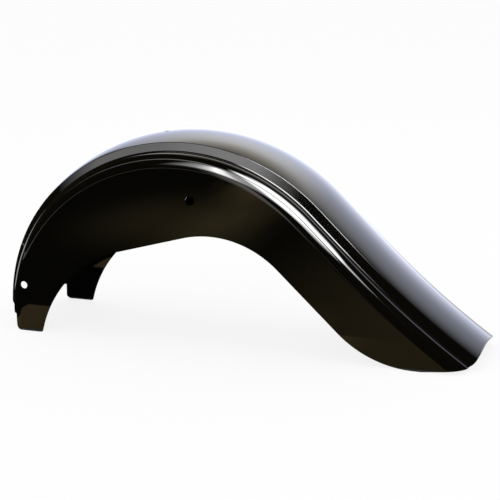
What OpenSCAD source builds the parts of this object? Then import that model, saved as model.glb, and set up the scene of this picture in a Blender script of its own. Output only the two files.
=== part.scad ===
// Stretched rear fender: one pressed sheet-steel shell that follows the wheel,
// runs down a straight back and kicks up slightly into a long tail.
// X points to the tail, Y to the side, Z up. It stands on its two front legs and on its tail.

/* [Side profile] */
// Radius of the crown over the wheel, from the wheel's centre
arch_r = 350; // [335:1:370]
// Angle behind the top at which the arch turns into the straight back
arch_end = 44.2; // [41:0.1:46]
// Radius of the slightly tighter curve at the front, a quarter turn ahead of that
front_r = 306; // [290:1:320]
// Length of the straight back
back_len = 96; // [80:1:120]
// Radius of the long reverse curve that lifts the tail
tail_r = 1450; // [1200:10:1800]
// Distance of the tail's end behind the wheel's centre
tail_reach = 504; // [490:1:515]

/* [Section] */
// Width over the side walls
fender_w = 204; // [190:1:230]
// Thickness of the sheet
sheet_t = 2; // [1.5:0.1:3]
// Width of the raised crown
crown_w = 128; // [112:1:136]
// Fall of the crown from its centre to its edge
crown_fall = 9; // [6:0.5:12]
// Radius of the crown's edge
crown_edge_r = 8; // [5:0.5:12]
// Width of the sloping step beside the crown
step_w = 12; // [9:0.5:15]
// Fall of the step, from the crown's edge to the crease
step_fall = 14; // [10:0.5:17]
// Radius in the crease
crease_r = 3; // [2:0.5:5]
// Radius of the shoulder that turns into the side wall
shoulder_r = 24; // [18:1:28]

/* [Side outline] */
// Width of a front leg's foot
leg_w = 51; // [40:1:58]
// Distance of the legs' front edge ahead of the wheel's centre
leg_front = 303; // [296:1:308]
// Radius of the legs' front lower corners
leg_toe_r = 9; // [4:0.5:14]
// Radius of the legs' rear lower corners
leg_heel_r = 4; // [2:0.5:8]
// Slope of the legs' rear edge from level
leg_slope = 76; // [70:1:80]
// Radius of the wheel opening behind the legs
opening_r = 210; // [190:1:220]
// Slope of the long lower edge ahead of the peak
edge_slope = 15.5; // [13:0.5:18]
// Height of the corner that the peak rounds off, over the floor
peak_h = 214; // [205:1:222]
// Distance of that corner behind the wheel's centre
peak_x = 108; // [95:1:120]
// Radius of the rounded peak
peak_r = 172; // [140:1:190]
// Slope of the lower edge behind the peak
skirt_slope = 43.4; // [41:0.1:46]
// Radius that turns the lower edge towards the floor
skirt_r = 185; // [150:1:200]
// Length of the level foot under the tail
foot_len = 12; // [8:1:30]
// Slope of the lower edge behind that foot
heel_slope = 6; // [3:0.5:9]
// Radius of the tail's lower corner
tail_corner_r = 18; // [12:1:26]

/* [Front notch] */
// Height of the legs under the front edge
notch_step_h = 28; // [22:1:34]
// Width between the legs' inner edges
notch_w = 188; // [180:1:194]
// Radius of the corners beside the legs
notch_corner_r = 5; // [3:0.5:8]
// Width of the raised middle at the height of those corners
middle_w = 152; // [140:1:160]
// Radius where the raised middle starts
middle_foot_r = 10; // [6:1:16]
// Height over the floor at which the middle's sloping sides would meet
middle_h = 98; // [90:1:106]
// Radius that rounds off the middle's top
middle_r = 40; // [34:1:48]

/* [Holes] */
// Bore of the strut bolt holes in both side walls
strut_hole_d = 16; // [12:0.5:18]
// Place of the strut holes behind the wheel's centre
strut_hole_x = 28.5; // [20:0.5:40]
// Height of the strut holes over the floor
strut_hole_h = 252; // [240:1:262]
// Bore of the front bolt holes in both side walls
front_hole_d = 13; // [10:0.5:14]
// Place of the front holes ahead of the wheel's centre
front_hole_x = 284; // [280:1:286]
// Height of the front holes over the floor
front_hole_h = 82; // [76:1:90]
// Bore of the seat screw hole in the crown
seat_hole_d = 8; // [5:0.5:10]
// Angle ahead of the top at which the seat hole is drilled
seat_hole_at = 8.5; // [4:0.5:14]

/* [Hidden] */
$fn = 96;
// how far each cutting shape runs past what it cuts
past = 20;
// depth of sheet that the sweeps make before the outline trims it
sweep_depth = 190;
// degrees that the front sweep turns, to below the legs' front edge
front_turn = 58;
// largest gap between a rounded corner and the short straights that draw it
chord_gap = 0.1;

half_w = fender_w / 2;
crown_r = (pow(crown_w / 2, 2) + pow(crown_fall, 2)) / (2 * crown_fall);
crease_depth = crown_fall + step_fall;
wall_top = crease_depth + shoulder_r;

// Side view with the wheel's centre at [0, 0]: along a slope of a degrees, and square to it
function along(a) = [cos(a), -sin(a)];
function outward(a) = [sin(a), cos(a)];

front_centre = (arch_r - front_r) * outward(arch_end - 90);
tail_centre = (arch_r + tail_r) * outward(arch_end) + back_len * along(arch_end);
// degrees that the tail's sweep turns, to past the tail's end
tail_turn = arch_end - asin((tail_centre.x - tail_reach - past) / tail_r);

// The part is centred between the furthest points of its front edge and of its tail
function notch_edge(y) = min(middle_h - y * (middle_h - notch_step_h) / (middle_w / 2), notch_top);
function skin_fall(y) = crown_r - sqrt(pow(crown_r, 2) - y * y);
function front_at(y) =
    front_centre.x
    - sqrt(pow(front_r - skin_fall(y), 2) - pow(max(0, notch_edge(y) - front_centre.y), 2));
side_half_angle = atan2(middle_w / 2, middle_h - notch_step_h);
notch_top = middle_h - middle_r * (1 / sin(side_half_angle) - 1);
front_reach = min([for (y = [0:crown_w / 2]) front_at(y)]);
mid_x = (front_reach + tail_reach) / 2;

// Where two lines meet, each given by a point and a direction
function meet(p, d, q, e) = p + d * cross(q - p, e) / cross(d, e);

// Points of an arc, few enough that the straights between them stay within chord_gap
function arc_points(c, r, a, b) =
    let (n = ceil(abs(b - a) / (2 * acos(1 - chord_gap / r))))
    [for (i = [0:n]) c + r * [cos(a + (b - a) * i / n), sin(a + (b - a) * i / n)]];

// Points of a path whose corners are rounded, each corner given as [x, y, radius]
function xy(p) = [p.x, p.y];
function unit(v) = v / norm(v);
function corner_points(before, at, after) =
    let (
        p = unit(xy(before) - xy(at)),
        q = unit(xy(after) - xy(at)),
        half = acos(p * q) / 2,
        centre = xy(at) + unit(p + q) * at[2] / sin(half),
        from = xy(at) + p * at[2] / tan(half) - centre,
        to = xy(at) + q * at[2] / tan(half) - centre,
        a = atan2(from.y, from.x),
        turn = atan2(cross(from, to), from * to)
    )
    arc_points(centre, at[2], a, a + turn);
function rounded(path) =
    let (n = len(path))
    [for (i = [0:n - 1])
        each path[i][2] == 0
            ? [xy(path[i])]
            : corner_points(path[(i + n - 1) % n], path[i], path[(i + 1) % n])];

// Circle inside the crown's edge: it touches the crown's arc and the step's slope
step_dir = unit([step_w, -step_fall]);
step_out = [-step_dir.y, step_dir.x];
crown_centre = [0, -crown_r];
crown_edge = [crown_w / 2, -crown_fall];
function on_step(offset_out, centre, reach, sense) =
    let (
        near = crown_edge + step_out * offset_out,
        foot = near + step_dir * ((centre - near) * step_dir),
        gap = norm(centre - foot)
    )
    foot + step_dir * sense * sqrt(pow(reach, 2) - pow(gap, 2));
edge_centre = on_step(-crown_edge_r, crown_centre, crown_r - crown_edge_r, -1);
// Circle outside the crease: it touches the step's slope and the shoulder's arc
shoulder_centre = [half_w - shoulder_r, -wall_top];
crease_centre = on_step(crease_r, shoulder_centre, shoulder_r + crease_r, -1);

function angle_of(v) = atan2(v.y, v.x);
crown_at = angle_of(edge_centre - crown_centre);
step_at = angle_of(step_out);
crease_at = angle_of(crease_centre - shoulder_centre);

// Half of the section's line, from the crown's centre to the side wall's edge, moved in by inset
function half_line(inset) = concat(
    arc_points(crown_centre, crown_r - inset, 90, crown_at),
    arc_points(edge_centre, crown_edge_r - inset, crown_at, step_at),
    arc_points(crease_centre, crease_r + inset, step_at - 180, crease_at - 180),
    arc_points(shoulder_centre, shoulder_r - inset, crease_at, 0),
    [[half_w - inset, -sweep_depth]]
);

// The sheet's section: x is height over the crown's centre, y is across the fender
module sheet_section() {
    skin = half_line(0);
    inside = half_line(sheet_t);
    polygon([
        for (i = [len(skin) - 1:-1:1]) [skin[i].y, -skin[i].x],
        for (p = skin) [p.y, p.x],
        for (i = [len(inside) - 1:-1:0]) [inside[i].y, inside[i].x],
        for (i = [1:len(inside) - 1]) [inside[i].y, -inside[i].x]
    ]);
}

// Frame of the sweeps: x points out of the crown where the arch meets the straight back,
// and the back runs along -y
module in_sweep_frame() {
    rotate([90, arch_end - 90, 0]) children();
}

// The sheet before it is trimmed
module swept_sheet() {
    in_sweep_frame() {
        translate([0, arch_r - front_r, 0]) rotate([0, 0, 90])
            rotate_extrude(angle = front_turn) translate([front_r, 0]) sheet_section();
        rotate_extrude(angle = 90) translate([arch_r, 0]) sheet_section();
        rotate([90, 0, 0]) linear_extrude(back_len) translate([arch_r, 0]) sheet_section();
        translate([arch_r + tail_r, -back_len, 0]) rotate([0, 0, 180])
            rotate_extrude(angle = tail_turn) translate([tail_r, 0]) mirror([1, 0]) sheet_section();
    }
}

// Side outline: legs, wheel opening, peak, skirt, tail foot and tail end
module side_outline() {
    peak = [peak_x, peak_h];
    leg_rear = [leg_w - leg_front, 0];
    opening_corner = meet(leg_rear, along(-leg_slope), peak, along(-edge_slope));
    skirt_foot = meet(peak, along(skirt_slope), [0, 0], [1, 0]);
    foot_end = skirt_foot + [skirt_r * tan(skirt_slope / 2) + foot_len, 0];
    tail_corner = meet(foot_end, along(-heel_slope), [tail_reach, 0], [0, 1]);
    top = arch_r + past;
    polygon(rounded([
        [-leg_front, 0, leg_toe_r],
        [leg_rear.x, 0, leg_heel_r],
        [opening_corner.x, opening_corner.y, opening_r],
        [peak.x, peak.y, peak_r],
        [skirt_foot.x, 0, skirt_r],
        [foot_end.x, 0, 0],
        [tail_corner.x, tail_corner.y, tail_corner_r],
        [tail_reach, top, 0],
        [-arch_r - past, top, 0],
        [-arch_r - past, notch_step_h, 0],
        [-leg_front, notch_step_h, 0]
    ]));
}

// Front notch seen along the fender: a raised middle over the wide gap between the legs
module front_notch() {
    polygon(rounded([
        [-notch_w / 2, -past, 0],
        [notch_w / 2, -past, 0],
        [notch_w / 2, notch_step_h, notch_corner_r],
        [middle_w / 2, notch_step_h, middle_foot_r],
        [0, middle_h, middle_r],
        [-middle_w / 2, notch_step_h, middle_foot_r],
        [-notch_w / 2, notch_step_h, notch_corner_r]
    ]));
}

// A hole through both side walls
module cross_hole(x, h, d) {
    translate([x, 0, h]) rotate([90, 0, 0]) cylinder(d = d, h = fender_w + past, center = true);
}

// The hole through the crown for the seat's screw, square to the crown
module seat_hole() {
    in_sweep_frame() rotate([0, 0, arch_end + seat_hole_at]) rotate([0, 90, 0])
        translate([0, 0, arch_r - past]) cylinder(d = seat_hole_d, h = 2 * past);
}

module fender() {
    color([0.05, 0.05, 0.055])
    translate([-mid_x, 0, 0])
    difference() {
        intersection() {
            swept_sheet();
            rotate([90, 0, 0]) linear_extrude(fender_w + past, center = true) side_outline();
        }
        translate([-arch_r - past, 0, 0]) rotate([90, 0, 90])
            linear_extrude(arch_r + past - leg_front + leg_w) front_notch();
        cross_hole(strut_hole_x, strut_hole_h, strut_hole_d);
        cross_hole(-front_hole_x, front_hole_h, front_hole_d);
        seat_hole();
    }
}

fender();
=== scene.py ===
"""Studio scene of a stretched rear fender, pressed from sheet steel and coated in gloss black."""

import logging
import math
from dataclasses import dataclass, field
from enum import Enum

import bmesh
import bpy
import numpy as np
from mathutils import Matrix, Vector


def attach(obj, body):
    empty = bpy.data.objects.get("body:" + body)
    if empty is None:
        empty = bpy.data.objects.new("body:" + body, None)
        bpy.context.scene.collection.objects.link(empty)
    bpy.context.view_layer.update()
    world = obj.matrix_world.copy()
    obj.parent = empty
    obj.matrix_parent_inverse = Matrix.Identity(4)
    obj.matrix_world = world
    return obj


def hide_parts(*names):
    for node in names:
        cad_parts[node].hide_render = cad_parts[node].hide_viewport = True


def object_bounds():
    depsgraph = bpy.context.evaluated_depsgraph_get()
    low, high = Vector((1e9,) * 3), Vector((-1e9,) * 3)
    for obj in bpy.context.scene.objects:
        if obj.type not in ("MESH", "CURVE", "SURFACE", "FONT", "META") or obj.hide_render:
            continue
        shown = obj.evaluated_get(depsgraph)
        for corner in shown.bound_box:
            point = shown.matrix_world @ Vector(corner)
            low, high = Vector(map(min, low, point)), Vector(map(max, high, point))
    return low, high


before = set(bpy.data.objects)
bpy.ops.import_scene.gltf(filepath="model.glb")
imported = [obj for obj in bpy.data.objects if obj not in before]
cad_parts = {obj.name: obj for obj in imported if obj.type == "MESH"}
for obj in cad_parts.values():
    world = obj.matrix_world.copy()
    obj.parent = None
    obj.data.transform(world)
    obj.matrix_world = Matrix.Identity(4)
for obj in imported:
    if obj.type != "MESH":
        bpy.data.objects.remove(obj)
CAD_BOX = [list(corner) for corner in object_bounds()]

log = logging.getLogger("fender")
MM = 0.001
# level of the two soft boxes over the object, enough to mirror as plain white in black gloss
SOFT_BOX = 27.0


class Sheet(Enum):
    """The two faces of the pressed sheet."""

    OUTSIDE = 1
    INSIDE = -1


def linear(hex_colour: str) -> tuple[float, float, float, float]:
    """Turns an sRGB hex colour into linear light.

    Args:
        hex_colour: Six hex digits, such as "1b180c".

    Returns:
        Linear red, green, blue and an alpha of 1.
    """
    parts = [int(hex_colour[i : i + 2], 16) / 255 for i in (0, 2, 4)]
    light = [c / 12.92 if c <= 0.04045 else ((c + 0.055) / 1.055) ** 2.4 for c in parts]
    return (*light, 1.0)


def along(angle: float) -> np.ndarray:
    """Direction down a slope of that angle towards the tail, in side view."""
    return np.array([math.cos(angle), -math.sin(angle)])


def outward(angle: float) -> np.ndarray:
    """Direction square to a slope of that angle, out of the crown, in side view."""
    return np.array([math.sin(angle), math.cos(angle)])


def arc(centre: np.ndarray, radius: float, start: float, end: float, gap: float) -> list[np.ndarray]:
    """Points of an arc, spaced so that the chords stay close to it.

    Args:
        centre: Centre of the arc.
        radius: Its radius in millimetres.
        start: First angle in radians.
        end: Last angle in radians.
        gap: Largest distance between chord and arc.

    Returns:
        The points, both ends included.
    """
    count = max(1, math.ceil(abs(end - start) / (2 * math.acos(1 - gap / radius))))
    turns = np.linspace(start, end, count + 1)
    return [centre + radius * np.array([math.cos(t), math.sin(t)]) for t in turns]


def rounded(path: list[tuple[float, float, float]], gap: float = 0.03) -> list[np.ndarray]:
    """Rounds the corners of a closed path.

    Args:
        path: Corners as x, y and radius, in millimetres.
        gap: Largest distance between a chord and its arc.

    Returns:
        The points of the rounded path.
    """
    points: list[np.ndarray] = []
    for i, (x, y, radius) in enumerate(path):
        at = np.array([x, y])
        if radius == 0:
            points.append(at)
            continue
        before, after = np.array(path[i - 1][:2]), np.array(path[(i + 1) % len(path)][:2])
        p, q = before - at, after - at
        p, q = p / np.linalg.norm(p), q / np.linalg.norm(q)
        half = math.acos(float(p @ q)) / 2
        centre = at + (p + q) / np.linalg.norm(p + q) * radius / math.sin(half)
        start, end = at + p * radius / math.tan(half) - centre, at + q * radius / math.tan(half) - centre
        first = math.atan2(start[1], start[0])
        turn = math.atan2(start[0] * end[1] - start[1] * end[0], float(start @ end))
        points += arc(centre, radius, first, first + turn, gap)
    return points


def meet(p: np.ndarray, d: np.ndarray, q: np.ndarray, e: np.ndarray) -> np.ndarray:
    """Finds where two lines meet.

    Args:
        p: A point of the first line.
        d: Its direction.
        q: A point of the second line.
        e: Its direction.

    Returns:
        The point that both lines share.
    """
    cross = d[0] * e[1] - d[1] * e[0]
    gap = q - p
    return p + d * (gap[0] * e[1] - gap[1] * e[0]) / cross


@dataclass
class CrownLine:
    """The crown's centre line in side view: front curve, arch, straight back and tail."""

    arch_r: float = 350.0
    arch_end: float = math.radians(44.2)
    front_r: float = 306.0
    front_turn: float = math.radians(58)
    back_len: float = 96.0
    tail_r: float = 1450.0
    tail_reach: float = 504.0
    past: float = 20.0

    @property
    def front_centre(self) -> np.ndarray:
        """Centre of the front curve."""
        return (self.arch_r - self.front_r) * outward(self.arch_end - math.pi / 2)

    @property
    def back_start(self) -> np.ndarray:
        """Where the arch turns into the straight back."""
        return self.arch_r * outward(self.arch_end)

    @property
    def tail_centre(self) -> np.ndarray:
        """Centre of the tail's long reverse curve."""
        return self.back_start + self.back_len * along(self.arch_end) + self.tail_r * outward(self.arch_end)

    def stations(self, step: float) -> list[tuple[np.ndarray, float]]:
        """Places along the line.

        Args:
            step: Distance between them in millimetres.

        Returns:
            Each place with its slope in radians.
        """
        made: list[tuple[np.ndarray, float]] = []
        turn = self.arch_end - math.pi / 2
        front_count = round(self.front_turn * self.front_r / step) + 1
        for t in np.linspace(turn - self.front_turn, turn, front_count)[:-1]:
            made.append((self.front_centre + self.front_r * outward(t), t))
        arch_count = round(math.pi / 2 * self.arch_r / step) + 1
        for t in np.linspace(turn, self.arch_end, arch_count)[:-1]:
            made.append((self.arch_r * outward(t), t))
        for s in np.linspace(0, self.back_len, round(self.back_len / step) + 1)[:-1]:
            made.append((self.back_start + s * along(self.arch_end), self.arch_end))
        last = math.asin((self.tail_centre[0] - self.tail_reach - self.past) / self.tail_r)
        tail_count = round((self.arch_end - last) * self.tail_r / step) + 1
        for t in np.linspace(self.arch_end, last, tail_count):
            made.append((self.tail_centre - self.tail_r * outward(t), t))
        return made

    def locate(self, x: np.ndarray, z: np.ndarray) -> tuple[np.ndarray, np.ndarray]:
        """Finds slope and depth of points in side view.

        Args:
            x: Distances behind the wheel's centre.
            z: Heights over the floor.

        Returns:
            Slope of the crown line over each point, and depth under it.
        """
        slope = np.arctan2(x, z)
        depth = self.arch_r - np.hypot(x, z)
        turn = self.arch_end - math.pi / 2
        fx, fz = x - self.front_centre[0], z - self.front_centre[1]
        front = np.arctan2(fx, fz)
        is_front = (front < turn) & (x < 0)
        slope = np.where(is_front, front, slope)
        depth = np.where(is_front, self.front_r - np.hypot(fx, fz), depth)
        bx, bz = x - self.back_start[0], z - self.back_start[1]
        run = bx * along(self.arch_end)[0] + bz * along(self.arch_end)[1]
        is_back = (run >= 0) & (x > 0)
        fall = -(bx * outward(self.arch_end)[0] + bz * outward(self.arch_end)[1])
        slope, depth = np.where(is_back, self.arch_end, slope), np.where(is_back, fall, depth)
        tx, tz = self.tail_centre[0] - x, self.tail_centre[1] - z
        is_tail = is_back & (run > self.back_len)
        slope = np.where(is_tail, np.arctan2(tx, tz), slope)
        depth = np.where(is_tail, np.hypot(tx, tz) - self.tail_r, depth)
        return slope, depth


@dataclass
class PressedSection:
    """The sheet's cross-section: crown, step, crease, shoulder and side wall."""

    width: float = 204.0
    sheet: float = 2.0
    crown_w: float = 128.0
    crown_fall: float = 9.0
    edge_r: float = 2.5
    step_w: float = 12.0
    step_fall: float = 14.0
    crease_r: float = 5.5
    shoulder_r: float = 24.0
    depth: float = 190.0
    gap: float = 0.02

    def __post_init__(self) -> None:
        """Works out the centres and angles of the section's arcs."""
        self.half = self.width / 2
        self.crown_r = ((self.crown_w / 2) ** 2 + self.crown_fall**2) / (2 * self.crown_fall)
        self.wall_top = self.crown_fall + self.step_fall + self.shoulder_r
        run = np.array([self.step_w, -self.step_fall])
        self.step_dir = run / np.linalg.norm(run)
        self.step_out = np.array([-self.step_dir[1], self.step_dir[0]])
        self.crown_c = np.array([0.0, -self.crown_r])
        self.shoulder_c = np.array([self.half - self.shoulder_r, -self.wall_top])
        self.edge_c = self._beside_step(-self.edge_r, self.crown_c, self.crown_r - self.edge_r)
        self.crease_c = self._beside_step(self.crease_r, self.shoulder_c, self.shoulder_r + self.crease_r)
        self.crown_at = self._angle(self.edge_c - self.crown_c)
        self.step_at = self._angle(self.step_out)
        self.crease_at = self._angle(self.crease_c - self.shoulder_c)

    @staticmethod
    def _angle(v: np.ndarray) -> float:
        """Angle of a vector in radians."""
        return math.atan2(v[1], v[0])

    def _beside_step(self, off: float, centre: np.ndarray, reach: float) -> np.ndarray:
        """Centre of a circle that touches the step and lies at a distance from another centre.

        Args:
            off: Distance from the step's line, outwards.
            centre: The other centre.
            reach: Distance from it.

        Returns:
            The circle's centre.
        """
        near = np.array([self.crown_w / 2, -self.crown_fall]) + self.step_out * off
        foot = near + self.step_dir * float((centre - near) @ self.step_dir)
        return foot - self.step_dir * math.sqrt(reach**2 - float((centre - foot) @ (centre - foot)))

    def half_line(self, inset: float) -> list[np.ndarray]:
        """The line from the crown's centre to the side wall's edge.

        Args:
            inset: Distance that it is moved into the sheet.

        Returns:
            Points across the fender and over the crown's centre.
        """
        line = arc(self.crown_c, self.crown_r - inset, math.pi / 2, self.crown_at, self.gap)
        line += arc(self.edge_c, self.edge_r - inset, self.crown_at, self.step_at, self.gap)
        into, out_of = self.step_at - math.pi, self.crease_at - math.pi
        line += arc(self.crease_c, self.crease_r + inset, into, out_of, self.gap)
        line += arc(self.shoulder_c, self.shoulder_r - inset, self.crease_at, 0, self.gap)
        return [*line, np.array([self.half - inset, -self.depth])]

    def loop(self) -> list[np.ndarray]:
        """Closes the section to a loop.

        Returns:
            Its points, over the outside and back along the inside.
        """
        skin, inside = self.half_line(0), self.half_line(self.sheet)
        mirror = np.array([-1, 1])
        return [
            *(p * mirror for p in reversed(skin[1:])),
            *skin,
            *reversed(inside),
            *(p * mirror for p in inside[1:]),
        ]

    def normals(self, across: np.ndarray, depth: np.ndarray) -> tuple[np.ndarray, np.ndarray]:
        """Outward directions of the sheet in its section.

        Args:
            across: Places across the fender.
            depth: Depths under the crown's centre.

        Returns:
            Each direction's parts across the fender and out of the crown.
        """
        side, y = np.sign(across), np.abs(across)
        p = np.stack([y, -depth], -1)

        def radial(centre: np.ndarray) -> np.ndarray:
            """Unit vectors from a centre."""
            v = p - centre
            return v / np.maximum(np.linalg.norm(v, axis=-1), 1e-9)[..., None]

        crown, shoulder = radial(self.crown_c), radial(self.shoulder_c)
        out = np.tile(np.array([1.0, 0.0]), (*y.shape, 1))
        over = (p - self.shoulder_c)[..., 1] > 0
        out = np.where(over[..., None], shoulder, out)
        before = (np.arctan2(shoulder[..., 1], shoulder[..., 0]) > self.crease_at) & over
        out = np.where(before[..., None], -radial(self.crease_c), out)
        on_step = (p - self.crease_c) @ self.step_dir < 0
        out = np.where(on_step[..., None], self.step_out, out)
        on_edge = (p - self.edge_c) @ self.step_dir < 0
        out = np.where(on_edge[..., None], radial(self.edge_c), out)
        on_crown = np.arctan2(crown[..., 1], crown[..., 0]) >= self.crown_at
        out = np.where(on_crown[..., None], crown, out)
        return out[..., 0] * side, out[..., 1]


@dataclass
class SideOutline:
    """The trim in side view: legs, wheel opening, peak, skirt and the foot under the tail."""

    leg_front: float = 303.0
    leg_w: float = 51.0
    leg_toe_r: float = 9.0
    leg_heel_r: float = 4.0
    leg_slope: float = math.radians(76)
    opening_r: float = 210.0
    edge_slope: float = math.radians(15.5)
    peak_x: float = 108.0
    peak_h: float = 214.0
    peak_r: float = 172.0
    skirt_slope: float = math.radians(43.4)
    skirt_r: float = 185.0
    foot_len: float = 12.0
    heel_slope: float = math.radians(6)
    tail_corner_r: float = 18.0
    step_h: float = 28.0

    def points(self, line: CrownLine) -> list[np.ndarray]:
        """Draws the outline.

        Args:
            line: The crown line that the outline trims.

        Returns:
            Its points, as distance behind the wheel's centre and height.
        """
        peak = np.array([self.peak_x, self.peak_h])
        rear = np.array([self.leg_w - self.leg_front, 0.0])
        level = np.array([1.0, 0.0])
        opening = meet(rear, along(-self.leg_slope), peak, along(-self.edge_slope))
        skirt = meet(peak, along(self.skirt_slope), np.zeros(2), level)
        foot = skirt + level * (self.skirt_r * math.tan(self.skirt_slope / 2) + self.foot_len)
        corner = meet(foot, along(-self.heel_slope), np.array([line.tail_reach, 0]), np.array([0.0, 1.0]))
        top, front = line.arch_r + line.past, -line.arch_r - line.past
        return rounded(
            [
                (-self.leg_front, 0, self.leg_toe_r),
                (rear[0], 0, self.leg_heel_r),
                (*opening, self.opening_r),
                (*peak, self.peak_r),
                (skirt[0], 0, self.skirt_r),
                (foot[0], 0, 0),
                (*corner, self.tail_corner_r),
                (line.tail_reach, top, 0),
                (front, top, 0),
                (front, self.step_h, 0),
                (-self.leg_front, self.step_h, 0),
            ]
        )


@dataclass
class FrontNotch:
    """The cut between the front legs, seen along the fender."""

    width: float = 188.0
    corner_r: float = 5.0
    middle_w: float = 152.0
    middle_foot_r: float = 10.0
    middle_h: float = 98.0
    middle_r: float = 40.0

    def points(self, step_h: float, past: float) -> list[np.ndarray]:
        """Draws the cut.

        Args:
            step_h: Height of the step beside each leg.
            past: Distance that it runs out below the floor.

        Returns:
            Its points, across the fender and up.
        """
        half, middle = self.width / 2, self.middle_w / 2
        return rounded(
            [
                (-half, -past, 0),
                (half, -past, 0),
                (half, step_h, self.corner_r),
                (middle, step_h, self.middle_foot_r),
                (0, self.middle_h, self.middle_r),
                (-middle, step_h, self.middle_foot_r),
                (-half, step_h, self.corner_r),
            ]
        )


@dataclass(frozen=True)
class GlossBlackCoat:
    """Electrophoretic coat on steel: smooth deep black with a faint orange peel and handling marks."""

    name: str = "gloss_black_e_coat"
    colour: str = "050504"
    roughness: float = 0.03
    ior: float = 1.5
    smudge_mm: float = 111.0
    smudge_span: tuple[float, float] = (0.35, 0.75)
    dull_span: tuple[float, float] = (0.8, 1.5)
    peel_mm: float = 12.0
    peel_depth_mm: float = 0.4
    peel_strength: float = 0.006

    def material(self) -> bpy.types.Material:
        """Makes the coat.

        Returns:
            Its material, with patterns that stay on the part wherever it stands.
        """
        made = bpy.data.materials.new(self.name)
        made.use_nodes = True
        tree = made.node_tree
        shader = tree.nodes["Principled BSDF"]
        shader.inputs["Base Color"].default_value = linear(self.colour)
        shader.inputs["IOR"].default_value = self.ior
        place = add_node(tree, "ShaderNodeTexCoord")
        # handling marks: broad soft patches where the gloss is a little duller
        smudge = add_node(
            tree,
            "ShaderNodeTexNoise",
            {"Scale": 1 / (self.smudge_mm * MM), "Detail": 5.0, "Roughness": 0.6},
            {"Vector": place.outputs["Object"]},
        )
        (thin, thick), (clean, marked) = self.smudge_span, self.dull_span
        # clean places mirror a little more sharply than marked ones
        dull = add_node(
            tree,
            "ShaderNodeMapRange",
            {
                "From Min": thin,
                "From Max": thick,
                "To Min": self.roughness * clean,
                "To Max": self.roughness * marked,
            },
            {"Value": smudge.outputs["Fac"]},
        )
        tree.links.new(dull.outputs["Result"], shader.inputs["Roughness"])
        # orange peel: the gentle waviness that a dipped coat keeps
        peel = add_node(
            tree,
            "ShaderNodeTexNoise",
            {"Scale": 1 / (self.peel_mm * MM), "Detail": 1.0},
            {"Vector": place.outputs["Object"]},
        )
        wave = add_node(
            tree,
            "ShaderNodeBump",
            {"Strength": self.peel_strength, "Distance": self.peel_depth_mm * MM},
            {"Height": peel.outputs["Fac"]},
        )
        tree.links.new(wave.outputs["Normal"], shader.inputs["Normal"])
        return made


def add_node(
    tree: bpy.types.NodeTree,
    kind: str,
    values: dict[str | int, object] | None = None,
    links: dict[str | int, bpy.types.NodeSocket] | None = None,
    **settings: object,
) -> bpy.types.Node:
    """Adds a node with its settings, values and links.

    Args:
        tree: The tree that gets the node.
        kind: Blender's name of the node's type.
        values: Input values by socket name or number.
        links: Output sockets to join to inputs, by input name or number.
        settings: Properties of the node itself.

    Returns:
        The new node.
    """
    node = tree.nodes.new(kind)
    for key, value in settings.items():
        setattr(node, key, value)
    for key, value in (values or {}).items():
        node.inputs[key].default_value = value
    for key, socket in (links or {}).items():
        tree.links.new(socket, node.inputs[key])
    return node


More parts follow.
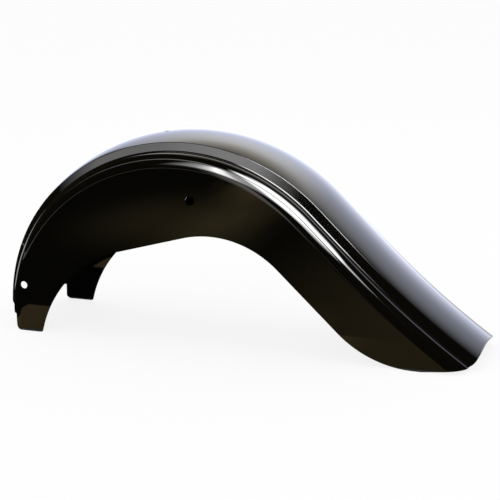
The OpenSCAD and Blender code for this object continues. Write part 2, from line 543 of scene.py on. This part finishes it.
@dataclass
class FenderShell:
    """The one pressed shell: swept sheet, trimmed to its outline, notched and drilled."""

    line: CrownLine = field(default_factory=CrownLine)
    section: PressedSection = field(default_factory=PressedSection)
    outline: SideOutline = field(default_factory=SideOutline)
    notch: FrontNotch = field(default_factory=FrontNotch)
    coat: GlossBlackCoat = field(default_factory=GlossBlackCoat)
    station_step: float = 11.0
    strut_hole: tuple[float, float, float] = (28.5, 252.0, 16.0)
    front_hole: tuple[float, float, float] = (-284.0, 82.0, 13.0)
    seat_hole_d: float = 8.0
    seat_hole_at: float = math.radians(-8.5)
    seat_cut: float = 40.0
    cutter_sides: int = 48
    sheet_share: float = 0.8

    @property
    def mid_x(self) -> float:
        """Distance of the part's own origin behind the wheel's centre, as the frame has it."""
        return self.line.tail_reach - CAD_BOX[1][0] / MM

    def build(self) -> bpy.types.Object:
        """Sweeps, trims, drills and finishes the shell.

        Returns:
            One finished mesh object in the part's frame.
        """
        helpers = [self._section_loop(), self._side_block(), self._notch_block()]
        carrier = self._crown_line()
        material = self.coat.material()
        tree = self._tree(material)
        sweep = carrier.modifiers.new("sweep", "NODES")
        sweep.node_group = tree
        given = {"Section": helpers[0], "Side outline": helpers[1], "Front notch": helpers[2]}
        for item in tree.interface.items_tree:
            if item.name in given:
                sweep[item.identifier] = given[item.name]
        ready = carrier.evaluated_get(bpy.context.evaluated_depsgraph_get())
        mesh = bpy.data.meshes.new_from_object(ready)
        mesh.name = "fender_shell"
        shell = bpy.data.objects.new("fender_shell", mesh)
        bpy.context.scene.collection.objects.link(shell)
        for used in (carrier, *helpers):
            bpy.data.objects.remove(used)
        self._place(mesh)
        self._smooth(mesh)
        return shell

    def _object(self, name: str, points: list, edges: list, faces: list) -> bpy.types.Object:
        """Makes a helper object.

        Args:
            name: Its name.
            points: Its points in millimetres.
            edges: Its edges.
            faces: Its faces.

        Returns:
            The object, in metres.
        """
        mesh = bpy.data.meshes.new(name)
        mesh.from_pydata([tuple(c * MM for c in p) for p in points], edges, faces)
        made = bpy.data.objects.new(name, mesh)
        bpy.context.scene.collection.objects.link(made)
        return made

    def _crown_line(self) -> bpy.types.Object:
        """Makes the line that the section is swept along.

        Returns:
            The line, with its outward direction stored on each point.
        """
        stations = self.line.stations(self.station_step)
        points = [(p[0], 0.0, p[1]) for p, _ in stations]
        carrier = self._object("crown_line", points, [(i, i + 1) for i in range(len(points) - 1)], [])
        out = carrier.data.attributes.new("crown_out", "FLOAT_VECTOR", "POINT")
        for item, (_, slope) in zip(out.data, stations, strict=True):
            item.vector = (math.sin(slope), 0.0, math.cos(slope))
        return carrier

    def _section_loop(self) -> bpy.types.Object:
        """Makes the section as a closed ring of edges.

        Returns:
            The ring, with x out of the crown and y across.
        """
        points = [(p[1], p[0], 0.0) for p in self.section.loop()]
        count = len(points)
        return self._object("section", points, [(i, (i + 1) % count) for i in range(count)], [])

    def _block(self, name: str, ring: list[tuple], shift: tuple[float, float, float]) -> bpy.types.Object:
        """Makes a closed block between a flat ring and its moved copy.

        Args:
            name: Its name.
            ring: Corners of the ring in millimetres.
            shift: The copy's distance from the ring.

        Returns:
            The block, with its faces outwards.
        """
        count = len(ring)
        moved = [tuple(a + b for a, b in zip(p, shift, strict=True)) for p in ring]
        sides = [(i, (i + 1) % count, count + (i + 1) % count, count + i) for i in range(count)]
        faces = [tuple(reversed(range(count))), tuple(range(count, 2 * count)), *sides]
        block = self._object(name, [*ring, *moved], [], faces)
        work = bmesh.new()
        work.from_mesh(block.data)
        bmesh.ops.recalc_face_normals(work, faces=work.faces)
        work.to_mesh(block.data)
        work.free()
        return block

    def _side_block(self) -> bpy.types.Object:
        """Runs the side outline across the whole width.

        Returns:
            The block that the swept sheet is trimmed to.
        """
        reach = self.section.half + self.line.past
        ring = [(p[0], -reach, p[1]) for p in self.outline.points(self.line)]
        return self._block("side_outline", ring, (0, 2 * reach, 0))

    def _notch_block(self) -> bpy.types.Object:
        """Runs the front notch back past the legs.

        Returns:
            The block that is cut away.
        """
        start = -self.line.arch_r - self.line.past
        cut = self.notch.points(self.outline.step_h, self.line.past)
        ring = [(start, p[0], p[1]) for p in cut]
        end = -self.outline.leg_front + self.outline.leg_w
        return self._block("front_notch", ring, (end - start, 0, 0))

    def _new_tree(self) -> bpy.types.NodeTree:
        """Makes the empty tree with its named inputs.

        Returns:
            The tree, with the three helper objects and the sizes of holes and width as inputs.
        """
        tree = bpy.data.node_groups.new("pressed_fender", "GeometryNodeTree")
        face = tree.interface
        face.new_socket("Geometry", in_out="INPUT", socket_type="NodeSocketGeometry")
        for name in ("Section", "Side outline", "Front notch"):
            face.new_socket(name, in_out="INPUT", socket_type="NodeSocketObject")
        sizes = {
            "Strut hole radius": self.strut_hole[2] / 2 * MM,
            "Front hole radius": self.front_hole[2] / 2 * MM,
            "Seat hole radius": self.seat_hole_d / 2 * MM,
            "Width": (self.section.width + 2 * self.line.past) * MM,
        }
        for name, value in sizes.items():
            face.new_socket(name, in_out="INPUT", socket_type="NodeSocketFloat").default_value = value
        face.new_socket("Geometry", in_out="OUTPUT", socket_type="NodeSocketGeometry")
        return tree

    def _bore(
        self,
        tree: bpy.types.NodeTree,
        radius: bpy.types.NodeSocket,
        place: tuple[float, float, float],
        turn: tuple[float, float, float],
        depth: bpy.types.NodeSocket | float,
    ) -> bpy.types.NodeSocket:
        """Makes a round cutter.

        Args:
            tree: The tree that gets its nodes.
            radius: The hole's radius.
            place: The hole's middle in metres.
            turn: Turn from upright to the hole's axis.
            depth: The cutter's length, as a number or a socket.

        Returns:
            The cutter's geometry.
        """
        rod = add_node(tree, "GeometryNodeMeshCylinder", {"Vertices": self.cutter_sides}, {"Radius": radius})
        if isinstance(depth, bpy.types.NodeSocket):
            tree.links.new(depth, rod.inputs["Depth"])
        else:
            rod.inputs["Depth"].default_value = depth
        set_up = {"Translation": place, "Rotation": turn}
        moved = add_node(tree, "GeometryNodeTransform", set_up, {"Geometry": rod.outputs["Mesh"]})
        return moved.outputs["Geometry"]

    def _tree(self, material: bpy.types.Material) -> bpy.types.NodeTree:
        """Geometry Nodes that sweep the section, trim it, notch it and drill it.

        Args:
            material: The coat that the last node sets.

        Returns:
            The node tree.
        """
        tree = self._new_tree()
        given = add_node(tree, "NodeGroupInput").outputs

        def shape_of(name: str) -> bpy.types.NodeSocket:
            """Geometry of one helper object."""
            held = add_node(tree, "GeometryNodeObjectInfo", links={"Object": given[name]})
            return held.outputs["Geometry"]

        spine = add_node(tree, "GeometryNodeMeshToCurve", links={"Mesh": given["Geometry"]})
        out = add_node(
            tree,
            "GeometryNodeInputNamedAttribute",
            {"Name": "crown_out"},
            data_type="FLOAT_VECTOR",
        )
        facing = add_node(
            tree,
            "GeometryNodeSetCurveNormal",
            links={"Curve": spine.outputs["Curve"]},
            mode="FREE",
        )
        tree.links.new(out.outputs["Attribute"], facing.inputs["Normal"])
        ring = add_node(tree, "GeometryNodeMeshToCurve", links={"Mesh": shape_of("Section")})
        swept = add_node(
            tree,
            "GeometryNodeCurveToMesh",
            {"Fill Caps": True},
            {"Curve": facing.outputs["Curve"], "Profile Curve": ring.outputs["Curve"]},
        )
        trimmed = add_node(tree, "GeometryNodeMeshBoolean", operation="INTERSECT", solver="EXACT")
        tree.links.new(swept.outputs["Mesh"], trimmed.inputs["Mesh 2"])
        tree.links.new(shape_of("Side outline"), trimmed.inputs["Mesh 2"])
        drilled = add_node(tree, "GeometryNodeMeshBoolean", operation="DIFFERENCE", solver="EXACT")
        tree.links.new(trimmed.outputs["Mesh"], drilled.inputs["Mesh 1"])
        across = (math.pi / 2, 0, 0)
        strut = (self.strut_hole[0] * MM, 0, self.strut_hole[1] * MM)
        front = (self.front_hole[0] * MM, 0, self.front_hole[1] * MM)
        seat_x, seat_z = outward(self.seat_hole_at) * self.line.arch_r * MM
        upright = (0, self.seat_hole_at, 0)
        cutters = [
            shape_of("Front notch"),
            self._bore(tree, given["Strut hole radius"], strut, across, given["Width"]),
            self._bore(tree, given["Front hole radius"], front, across, given["Width"]),
            self._bore(tree, given["Seat hole radius"], (seat_x, 0, seat_z), upright, self.seat_cut * MM),
        ]
        for cutter in cutters:
            tree.links.new(cutter, drilled.inputs["Mesh 2"])
        real = add_node(tree, "GeometryNodeRealizeInstances", links={"Geometry": drilled.outputs["Mesh"]})
        coat = {"Material": material}
        coated = add_node(tree, "GeometryNodeSetMaterial", coat, {"Geometry": real.outputs["Geometry"]})
        end = add_node(tree, "NodeGroupOutput")
        tree.links.new(coated.outputs["Geometry"], end.inputs["Geometry"])
        return tree

    def _place(self, mesh: bpy.types.Mesh) -> None:
        """Moves the shell from the wheel's centre to the part's own origin.

        Args:
            mesh: The shell's mesh.
        """
        co = np.empty(len(mesh.vertices) * 3, np.float32)
        mesh.vertices.foreach_get("co", co)
        co = co.reshape(-1, 3)
        co[:, 0] -= self.mid_x * MM
        mesh.vertices.foreach_set("co", co.ravel())
        mesh.update()

    def _smooth(self, mesh: bpy.types.Mesh) -> None:
        """Gives the sheet's faces the exact normals of the pressed form, and keeps its cut edges flat.

        Args:
            mesh: The shell's mesh, already in place.
        """
        count = len(mesh.vertices)
        co = np.empty(count * 3, np.float32)
        mesh.vertices.foreach_get("co", co)
        co = co.reshape(-1, 3).astype(float) / MM
        x, y, z = co[:, 0] + self.mid_x, co[:, 1], co[:, 2]
        slope, depth = self.line.locate(x, z)
        across, out = self.section.normals(y, depth)
        exact = np.stack([out * np.sin(slope), across, out * np.cos(slope)], -1)
        loops = len(mesh.loops)
        corner = np.empty(loops, np.int32)
        mesh.loops.foreach_get("vertex_index", corner)
        faces = len(mesh.polygons)
        flat = np.empty(faces * 3, np.float32)
        mesh.polygons.foreach_get("normal", flat)
        flat = flat.reshape(-1, 3)
        total = np.empty(faces, np.int32)
        mesh.polygons.foreach_get("loop_total", total)
        face_of = np.repeat(np.arange(faces), total)
        own, want = flat[face_of], exact[corner]
        same = (own * want).sum(1)
        mean = np.add.reduceat(same, np.concatenate([[0], np.cumsum(total)[:-1]])) / total
        mean = mean[face_of]
        inside = np.where(mean < -self.sheet_share, Sheet.INSIDE.value, 0)
        side = np.where(mean > self.sheet_share, Sheet.OUTSIDE.value, inside)
        normals = np.where(side[:, None] == 0, own, want * side[:, None])
        mesh.polygons.foreach_set("use_smooth", np.ones(faces, bool))
        mesh.normals_split_custom_set(normals.tolist())


def smooth(value: np.ndarray, low: float, high: float) -> np.ndarray:
    """Eases from 0 at low to 1 at high."""
    t = np.clip((value - low) / (high - low), 0, 1)
    return t * t * (3 - 2 * t)


class Tint(Enum):
    """Colours of the light that the coat mirrors."""

    WHITE = "ffffff"
    LAVENDER = "e4e9ff"
    WARM = "fff8ec"
    OLIVE = "ffe4a0"


@dataclass(frozen=True)
class Panel:
    """A soft panel of light round the object, placed by the directions that it fills.

    Each column gives an azimuth, the panel's lower and upper elevation there, and its level of light.
    Azimuths run in degrees from straight behind the object (0) over the tail's side (90) to straight
    before it (180). The rise gives the share of that level from the lower edge (0) to the upper edge (1).
    """

    name: str
    columns: tuple[tuple[float, float, float, float], ...]
    rise: tuple[tuple[float, float], ...]
    tints: tuple[tuple[float, Tint], ...] = ((0, Tint.WHITE),)
    reach: float = 7.0
    step: float = 1.5
    rows: int = 25

    def patch(self) -> tuple[list[tuple], list[tuple], np.ndarray]:
        """Works out the panel's curved sheet.

        Returns:
            Points, faces, and the light of each point.
        """
        given = np.array(self.columns)
        count = round((given[-1, 0] - given[0, 0]) / self.step) + 1
        turn = np.linspace(given[0, 0], given[-1, 0], count)
        low, top, level = (np.interp(turn, given[:, 0], given[:, k]) for k in (1, 2, 3))
        up = np.linspace(0, 1, self.rows)[:, None]
        a = np.radians(np.broadcast_to(turn, (self.rows, count)))
        e = np.radians(low + (top - low) * up)
        place = np.stack([np.sin(a) * np.cos(e), np.cos(a) * np.cos(e), np.sin(e)], -1) * self.reach
        steps, shares = zip(*self.rise, strict=True)
        light = level * np.interp(up, steps, shares)
        shades = np.array([linear(tint.value)[:3] for _, tint in self.tints])
        colour = np.stack([np.interp(up, [at for at, _ in self.tints], shade) for shade in shades.T], -1)
        points = [tuple(p) for p in place.reshape(-1, 3)]
        return points, grid_faces(self.rows, count), (light[..., None] * colour).reshape(-1, 3)


def grid_faces(rows: int, columns: int) -> list[tuple[int, int, int, int]]:
    """Joins a grid of points by faces.

    Args:
        rows: Rows of points.
        columns: Points in a row.

    Returns:
        The faces, row by row.
    """
    return [
        (i * columns + j, i * columns + j + 1, (i + 1) * columns + j + 1, (i + 1) * columns + j)
        for i in range(rows - 1)
        for j in range(columns - 1)
    ]


@dataclass(frozen=True)
class FloorPatch:
    """A soft patch of dim light on the floor in front, mirrored by the side wall."""

    centre: tuple[float, float]
    reach: tuple[float, float]
    level: float

    def light(self, x: np.ndarray, y: np.ndarray) -> np.ndarray:
        """Light of the patch at places on the floor."""
        far = np.hypot((x - self.centre[0]) / self.reach[0], (y - self.centre[1]) / self.reach[1])
        return self.level * smooth(-far, -1, 0)


@dataclass
class Studio:
    """Plain white floor and room, one soft lamp, the mirrored panels and the camera."""

    azimuth: float = math.radians(20.0)
    elevation: float = math.radians(14.77)
    roll: float = math.radians(-0.576)
    distance: float = 2.6
    lens: float = 110.4
    target: tuple[float, float, float] = (0.010, 0.0, 0.1493)
    sensor: float = 36.0
    sight: float = 50.0
    daylight: float = 0.88
    dark_room: float = 0.03
    paper: str = "fafafa"
    floor_reach: float = 6.0
    floor_glow: float = 0.85
    lamp_size: tuple[float, float] = (3.0, 2.4)
    lamp_place: tuple[float, float, float] = (0.2, 0.2, 2.8)
    lamp_watts: float = 14.0
    card_lift: float = 0.003
    strip_start: float = -0.103
    strip_end: float = -0.235
    dim_front: float = -3.5
    dim_span: tuple[float, float] = (-2.5, 2.0)
    dim_points: tuple[int, int] = (91, 66)
    dim_level: float = 0.012
    # level of the dark cards: the painted shade under the arch, and the dark floor before the legs
    dark_level: float = 0.01
    # span along the fender of the painted shade under the arch
    under_arch: tuple[float, float] = (-0.8, 0.3)
    before_legs: tuple[tuple[float, float], ...] = (
        (-0.43, -0.235),
        (-0.43, -0.07),
        (-5.0, 1.75),
        (-5.0, -0.235),
    )
    panels: tuple[Panel, ...] = (
        # behind the fender: the crown mirrors it as a pale sheen that darkens towards the near edge
        Panel(
            "backdrop",
            (
                (-46, -3, 72, 0),
                (-43, -3, 72, 2.0),
                (-20, -3, 72, 2.8),
                (5, -3, 72, 3.3),
                (18, -3, 72, 3.1),
                (30, -3, 72, 2.5),
                (38, -3, 72, 2.0),
                (42, -3, 72, 1.6),
                (46, -3, 72, 1.0),
                (52, -3, 72, 0),
            ),
            ((0, 0.8), (0.35, 0.8), (0.52, 1), (0.62, 1), (0.7, 0.75), (0.78, 0.45), (0.86, 0.25), (1, 0)),
            (
                (0, Tint.LAVENDER),
                (0.4, Tint.LAVENDER),
                (0.6, Tint.WHITE),
                (0.75, Tint.WARM),
                (1, Tint.WARM),
            ),
            reach=2.0,
        ),
        # the upper white streak down the shoulder, and a thin line in the crease
        Panel(
            "overhead_box",
            (
                (75, 46, 82, 0),
                (84, 46, 82, 6),
                (90, 46, 82, 14),
                (98, 45, 82, SOFT_BOX),
                (106, 43.3, 82, SOFT_BOX),
                (112, 41.8, 82, SOFT_BOX),
                (119, 40.5, 82, SOFT_BOX),
                (122, 40.2, 82, SOFT_BOX),
                (124, 41.8, 82, SOFT_BOX),
                (126, 43.5, 82, SOFT_BOX),
                (129, 46.2, 82, SOFT_BOX),
                (131.5, 49, 82, SOFT_BOX),
                (135, 53.5, 82, SOFT_BOX),
                (139.5, 57, 82, SOFT_BOX),
                (144.5, 59.7, 82, SOFT_BOX),
                (150.5, 62.5, 82, SOFT_BOX),
                (158, 65, 82, SOFT_BOX),
                (168, 67, 82, 8),
                (178, 68, 82, 0),
            ),
            ((0, 0), (0.04, 1), (0.7, 1), (1, 0)),
            reach=1.6,
        ),
        # the lower white streak, parted from the upper one by a dark gap
        Panel(
            "front_box",
            (
                (129.5, 40, 41, 0),
                (131.5, 37.5, 43.8, SOFT_BOX),
                (135, 35.5, 48.8, SOFT_BOX),
                (139.5, 34, 52.8, SOFT_BOX),
                (144.5, 32, 56.3, SOFT_BOX),
                (150.5, 29, 59.3, SOFT_BOX),
                (158, 29, 61.8, SOFT_BOX),
                (163, 31, 63, SOFT_BOX),
                (167, 31, 63.5, 14),
                (172, 31, 63.5, 6),
                (182, 28, 63, 8),
                (186, 28, 63, 20),
                (191, 28, 63, SOFT_BOX),
                (195, 28, 62, 14),
                (200, 28, 61, 6),
                (212, 28, 60, 0),
            ),
            ((0, 0), (0.28, 1), (0.97, 1), (1, 0)),
            reach=1.6,
        ),
        # the faint glow under the lower streak, where the shoulder turns into the wall
        Panel(
            "front_fill",
            ((180, 2, 30, 0), (185, 2, 30, 2.0), (192, 2, 30, 1.8), (199, 2, 30, 0)),
            ((0, 0.6), (0.5, 1), (0.9, 1), (1, 0)),
            ((0, Tint.WARM),),
            reach=1.2,
        ),
        # the grey of the step over the arch
        Panel(
            "ceiling_band",
            (
                (137, 44.5, 51.5, 0),
                (147, 51, 58, 1.9),
                (155, 55, 62, 3.4),
                (163, 58, 65, 4.4),
                (176, 61, 68, 4.6),
                (195, 61.5, 68.5, 4.4),
                (214, 60.5, 67.5, 4.0),
                (229, 56.5, 63.5, 3.6),
                (240, 51.5, 58.5, 2.9),
                (249, 45.5, 52.5, 2.6),
                (255, 39.5, 46.5, 2.5),
                (261, 33.5, 38.5, 2.2),
                (266, 25.5, 30.5, 0.9),
                (270, 17, 24, 0),
            ),
            ((0, 0), (0.25, 1), (0.75, 1), (1, 0)),
        ),
    )
    patches: tuple[FloorPatch, ...] = (
        FloorPatch((0.45, -0.55), (0.68, 1.3), 0.38),
        FloorPatch((0.04, -0.24), (0.12, 0.20), 0.30),
        FloorPatch((-0.46, -0.92), (0.25, 0.38), 0.22),
        FloorPatch((-0.31, -0.95), (0.14, 0.55), 0.38),
        FloorPatch((-0.36, -1.45), (0.13, 0.42), 1.0),
        FloorPatch((-0.22, -0.70), (0.06, 0.30), 0.10),
    )
    # place along the fender and level of light, for the strip of floor just in front of it
    strip: tuple[tuple[float, float], ...] = (
        (-2.5, 0.48),
        (-0.38, 0.48),
        (-0.3, 0.28),
        (-0.2, 0.2),
        (0.1, 0.5),
        (0.16, 0.55),
        (0.22, 0.3),
        (0.6, 0.26),
        (2.0, 0.2),
    )

    def build(self) -> None:
        """Makes camera, world, floor, lamp and the panels that only the coat mirrors."""
        self._camera()
        self._world()
        self._floor()
        self._lamp()
        for panel in self.panels:
            self._glowing(panel.name, *panel.patch())
        self._dim_floor()

    def _camera(self) -> None:
        """The photograph's camera: above, and a little towards the tail."""
        data = bpy.data.cameras.new("camera")
        data.lens = self.lens
        data.sensor_width = self.sensor
        data.clip_end = self.sight
        camera = bpy.data.objects.new("camera", data)
        bpy.context.scene.collection.objects.link(camera)
        a, e, r = self.azimuth, self.elevation, self.roll
        back = Vector((math.sin(a) * math.cos(e), -math.cos(a) * math.cos(e), math.sin(e)))
        right = Vector((math.cos(a), math.sin(a), 0))
        up = back.cross(right)
        turned_right = right * math.cos(r) + up * math.sin(r)
        turned_up = up * math.cos(r) - right * math.sin(r)
        pose = camera.matrix_world.copy()
        stand = Vector(self.target) + back * self.distance
        for i, column in enumerate((turned_right, turned_up, back, stand)):
            for j in range(3):
                pose[j][i] = column[j]
        camera.matrix_world = pose
        bpy.context.scene.camera = camera

    def _world(self) -> None:
        """White for the camera, even soft light for surfaces, and a nearly dark room for the coat."""
        world = bpy.data.worlds.new("studio")
        bpy.context.scene.world = world
        world.use_nodes = True
        tree = world.node_tree
        tree.nodes.clear()
        path = add_node(tree, "ShaderNodeLightPath")
        seen = add_node(tree, "ShaderNodeBackground", {"Color": (1, 1, 1, 1), "Strength": 1.0})
        soft = add_node(tree, "ShaderNodeBackground", {"Color": (1, 1, 1, 1), "Strength": self.daylight})
        dim = {"Color": linear(Tint.OLIVE.value), "Strength": self.dark_room}
        mirrored = add_node(tree, "ShaderNodeBackground", dim)
        pick = add_node(tree, "ShaderNodeMixShader", links={0: path.outputs["Is Glossy Ray"]})
        tree.links.new(soft.outputs[0], pick.inputs[1])
        tree.links.new(mirrored.outputs[0], pick.inputs[2])
        last = add_node(tree, "ShaderNodeMixShader", links={0: path.outputs["Is Camera Ray"]})
        tree.links.new(pick.outputs[0], last.inputs[1])
        tree.links.new(seen.outputs[0], last.inputs[2])
        add_node(tree, "ShaderNodeOutputWorld", links={"Surface": last.outputs[0]})

    def _plane(self, name: str, points: list[tuple], faces: list[tuple]) -> bpy.types.Object:
        """Makes a stage piece.

        Args:
            name: Its name.
            points: Its corners in metres.
            faces: Its faces.

        Returns:
            The object.
        """
        mesh = bpy.data.meshes.new(name)
        mesh.from_pydata(points, [], faces)
        made = bpy.data.objects.new(name, mesh)
        bpy.context.scene.collection.objects.link(made)
        return made

    def _floor(self) -> None:
        """A white paper floor that keeps the object's shadow and melts into the white room."""
        reach = self.floor_reach
        corners = [(-reach, -reach, 0), (reach, -reach, 0), (reach, reach, 0), (-reach, reach, 0)]
        floor = self._plane("floor", corners, [(0, 1, 2, 3)])
        matt_paper = bpy.data.materials.new("white_paper")
        matt_paper.use_nodes = True
        tree = matt_paper.node_tree
        tree.nodes.clear()
        path = add_node(tree, "ShaderNodeLightPath")
        share = add_node(
            tree,
            "ShaderNodeMath",
            {1: self.floor_glow},
            {0: path.outputs["Is Camera Ray"]},
            operation="MULTIPLY",
        )
        matt = add_node(tree, "ShaderNodeBsdfDiffuse", {"Color": linear(self.paper)})
        white = add_node(tree, "ShaderNodeEmission", {"Strength": 1.0})
        seen = add_node(tree, "ShaderNodeMixShader", links={0: share.outputs[0]})
        tree.links.new(matt.outputs[0], seen.inputs[1])
        tree.links.new(white.outputs[0], seen.inputs[2])
        add_node(tree, "ShaderNodeOutputMaterial", links={"Surface": seen.outputs[0]})
        floor.data.materials.append(matt_paper)

    def _lamp(self) -> None:
        """One broad soft lamp over the object."""
        lamp = bpy.data.lights.new("overhead", "AREA")
        lamp.shape = "RECTANGLE"
        lamp.size, lamp.size_y = self.lamp_size
        lamp.energy = self.lamp_watts
        lit = bpy.data.objects.new("overhead", lamp)
        lit.location = self.lamp_place
        lit.visible_glossy = False
        bpy.context.scene.collection.objects.link(lit)

    def _glowing(self, name: str, points: list[tuple], faces: list[tuple], light: np.ndarray) -> None:
        """A panel that only mirrored rays see.

        Args:
            name: Its name.
            points: Its corners in metres.
            faces: Its faces.
            light: Red, green and blue light of each corner.
        """
        card = self._plane(name, points, faces)
        glow = card.data.attributes.new("light", "FLOAT_COLOR", "POINT")
        glow.data.foreach_set("color", np.c_[light, np.ones(len(light))].astype(np.float32).ravel())
        lit = bpy.data.materials.new(name)
        lit.use_nodes = True
        tree = lit.node_tree
        tree.nodes.clear()
        level = add_node(tree, "ShaderNodeAttribute", attribute_name="light")
        colour = {"Color": level.outputs["Color"]}
        emission = add_node(tree, "ShaderNodeEmission", {"Strength": 1.0}, colour)
        add_node(tree, "ShaderNodeOutputMaterial", links={"Surface": emission.outputs[0]})
        card.data.materials.append(lit)
        card.visible_camera = False
        card.visible_diffuse = False
        card.visible_transmission = False
        card.visible_shadow = False

    def _dim_floor(self) -> None:
        """The floor as the walls mirror it: olive patches, a strip in front, and painted shade under the
        arch.
        """
        across, deep = self.dim_points
        rows = np.linspace(self.dim_front, self.strip_end, deep)
        x, y = np.meshgrid(np.linspace(*self.dim_span, across), rows)
        light = self.dim_level + sum(patch.light(x, y) for patch in self.patches)
        olive = np.array(linear(Tint.OLIVE.value)[:3])
        points = [(float(a), float(b), self.card_lift) for a, b in zip(x.ravel(), y.ravel(), strict=True)]
        self._glowing("dim_floor", points, grid_faces(*x.shape), light.reshape(-1, 1) * olive)
        places, levels = (np.array(values) for values in zip(*self.strip, strict=True))
        edges = (self.strip_end, self.strip_start)
        points = [(float(p), edge, self.card_lift) for edge in edges for p in places]
        light = np.tile(levels, 2)[:, None] * olive
        self._glowing("shadow_strip", points, grid_faces(2, len(places)), light)
        # painted shade: a dark card over the floor that the fender shades, seen only in reflections; the
        # same dark also fills the floor before the legs
        dark = np.full((4, 3), self.dark_level)
        edges = (self.strip_start, -self.strip_start)
        points = [(p, edge, self.card_lift) for edge in edges for p in self.under_arch]
        self._glowing("dark_under_arch", points, grid_faces(2, 2), dark)
        points = [(x, y, 2 * self.card_lift) for x, y in self.before_legs]
        self._glowing("dark_before_legs", points, [(0, 1, 2, 3)], dark)


def main() -> None:
    """Builds the fender and its studio."""
    logging.basicConfig(level=logging.INFO, format="%(name)s: %(message)s")
    bpy.context.scene.view_settings.view_transform = "Standard"
    shell = FenderShell().build()
    log.info("%s: %d faces", shell.name, len(shell.data.polygons))
    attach(shell, "root")
    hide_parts("fender")
    Studio().build()
    bpy.context.view_layer.update()


if __name__ == "__main__":
    main()
